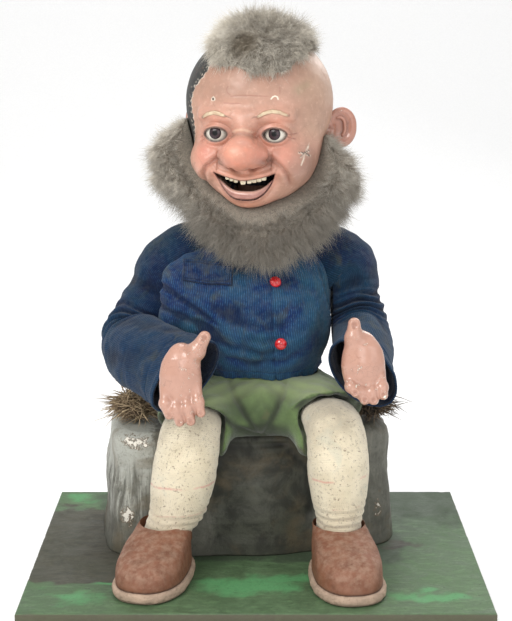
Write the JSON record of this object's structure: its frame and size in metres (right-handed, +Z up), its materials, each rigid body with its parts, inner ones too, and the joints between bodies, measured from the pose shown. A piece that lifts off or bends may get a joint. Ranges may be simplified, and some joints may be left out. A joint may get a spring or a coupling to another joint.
{
  "type": "electric automaton",
  "caption": "Seated dwarf display automaton on a painted board, with a cam-driven head, jaw, glass eyes and two lifting arms.",
  "frame": {"origin": "centre of the board's underside", "axes": "+Z up, -Y to the front where the figure looks, +X to the figure's left hand, the viewer's right"},
  "size_m": [0.497, 0.384, 0.6225],
  "materials": {
    "bright_steel": "plain bright steel",
    "board_paint": "sheet of softwood with worn green paint",
    "beard_fur": "grey-beige fur",
    "button_red": "glossy red domes",
    "cam_fibre": "pressed brown fibre",
    "plain_brass": "plain brass",
    "grommet_rubber": "black rubber bush",
    "ear_paint": "glossy painted composition",
    "eye_glass": "opaque doll's glass",
    "face_paint": "glossy painted composition",
    "hand_paint": "glossy painted composition",
    "head_back_paint": "dark painted composition",
    "head_block_wood": "turned softwood",
    "block_wood": "planed softwood",
    "jacket_cord": "faded blue needlecord",
    "lip_paint": "glossy painted composition",
    "motor_enamel": "dark enamel",
    "cradle_wood": "planed softwood",
    "neck_card": "card tube",
    "flap_cord": "faded blue needlecord",
    "rock_paint": "painted papier-mache shell",
    "shoe_sole": "thick pale felted sole",
    "shoe_leather": "dusty brown leather",
    "shorts_felt": "green felt",
    "sleeve_cord": "faded blue needlecord",
    "stocking_wool": "knitted wool over a padded leg",
    "straw_left_straw": "loose dry straw",
    "straw_right_straw": "loose dry straw",
    "bust_card": "moulded card",
    "teeth_paint": "cream painted row of teeth",
    "wig_fur": "grey-brown fur"
  },
  "bodies": {
    "base": {"base_board": "board_paint", "rock_seat": "rock_paint", "cord_grommet": "grommet_rubber", "straw_left": "straw_left_straw", "straw_right": "straw_right_straw", "shoe_sole_left": "shoe_sole", "shoe_sole_right": "shoe_sole", "shoe_upper_left": "shoe_leather", "shoe_upper_right": "shoe_leather", "stocking_left": "stocking_wool", "stocking_right": "stocking_wool", "hip_block": "block_wood", "shorts": "shorts_felt", "frame_cheek_left": "bright_steel", "frame_cheek_right": "bright_steel", "frame_top_bar": "bright_steel", "neck_bush": "plain_brass", "motor": "motor_enamel", "motor_cradle": "cradle_wood", "rocker_pin": "bright_steel", "torso_shell": "bust_card", "jacket_body": "jacket_cord", "pocket_flap": "flap_cord", "button_upper": "button_red", "button_lower": "button_red"},
    "cam_drum": {"camshaft": "bright_steel", "cam_wheel": "plain_brass", "cam_arm_left": "cam_fibre", "cam_arm_right": "cam_fibre", "cam_head": "cam_fibre", "cam_jaw": "cam_fibre"},
    "motor_rotor": {"motor_shaft": "bright_steel", "motor_pinion": "plain_brass"},
    "arm_left": {"arm_rod_left": "bright_steel", "sleeve_left": "sleeve_cord", "hand_left": "hand_paint"},
    "arm_right": {"arm_rod_right": "bright_steel", "sleeve_right": "sleeve_cord", "hand_right": "hand_paint"},
    "head": {"head_shaft": "bright_steel", "head_lever": "plain_brass", "head_block": "head_block_wood", "neck_tube": "neck_card", "face_mask": "face_paint", "head_back": "head_back_paint", "ear_left": "ear_paint", "ear_right": "ear_paint", "upper_teeth": "teeth_paint", "wig": "wig_fur", "beard": "beard_fur", "eye_frame": "bright_steel", "jaw_post": "bright_steel"},
    "rocker": {"jaw_rocker": "plain_brass"},
    "rod": {"jaw_rod": "plain_brass"},
    "jaw": {"lower_jaw": "lip_paint"},
    "eye_left": {"eyeball_left": "eye_glass", "eye_pin_left": "plain_brass"},
    "eye_right": {"eyeball_right": "eye_glass", "eye_pin_right": "plain_brass"},
    "eye_bar": {"eye_link": "bright_steel"}
  },
  "joints": [
    {"name": "camshaft_turn", "type": "hinge", "parent": "base", "child": "cam_drum", "pos_m": [0.003, 0.09, 0.2706], "axis": [1, 0, 0], "continuous": true},
    {"name": "motor_turn", "type": "hinge", "parent": "base", "child": "motor_rotor", "pos_m": [0.003, 0.09, 0.2346], "axis": [1, 0, 0], "continuous": true},
    {"name": "arm_left_lift", "type": "hinge", "parent": "base", "child": "arm_left", "pos_m": [-0.0792, 0.07, 0.3253], "axis": [-1, 0, 0], "range_deg": [0, 25]},
    {"name": "arm_right_lift", "type": "hinge", "parent": "base", "child": "arm_right", "pos_m": [0.0852, 0.07, 0.3253], "axis": [-1, 0, 0], "range_deg": [0, 25]},
    {"name": "head_turn", "type": "hinge", "parent": "base", "child": "head", "pos_m": [0.003, 0.06, 0.5053], "axis": [0, 0, 1], "range_deg": [-12, 12]},
    {"name": "rocker_swing", "type": "hinge", "parent": "base", "child": "rocker", "pos_m": [0.003, 0.046, 0.2935], "axis": [1, 0, 0], "range_deg": [-4.82, 0]},
    {"name": "jaw_rod_slide", "type": "slide", "parent": "head", "child": "rod", "axis": [0, 0, 1], "range_m": [-0.0012, 0]},
    {"name": "jaw_close", "type": "hinge", "parent": "head", "child": "jaw", "pos_m": [0.00014, 0.04528, 0.4433], "axis": [-0.9816, 0.1908, 0], "range_deg": [0, 4.6]},
    {"name": "eye_left_turn", "type": "hinge", "parent": "head", "child": "eye_left", "pos_m": [-0.04092, 0.00436, 0.4893], "axis": [0, 0, 1], "range_deg": [-12, 12]},
    {"name": "eye_right_turn", "type": "hinge", "parent": "head", "child": "eye_right", "pos_m": [0.02288, -0.00804, 0.4893], "axis": [0, 0, 1], "range_deg": [-12.1, 12.1]},
    {"name": "eye_link_slide", "type": "slide", "parent": "head", "child": "eye_bar", "axis": [0.9816, -0.1908, 0], "range_m": [-0.0051, 0.0051]}
  ],
  "couplings": [
    {"joint": "motor_turn", "follows": "camshaft_turn", "ratio": -5},
    {"joint": "jaw_rod_slide", "follows": "rocker_swing", "m_per_rad": 0.014},
    {"joint": "jaw_close", "follows": "rocker_swing", "ratio": -0.9333},
    {"joint": "eye_right_turn", "follows": "eye_left_turn", "ratio": 1},
    {"joint": "eye_link_slide", "follows": "eye_left_turn", "m_per_rad": -0.024}
  ]
}
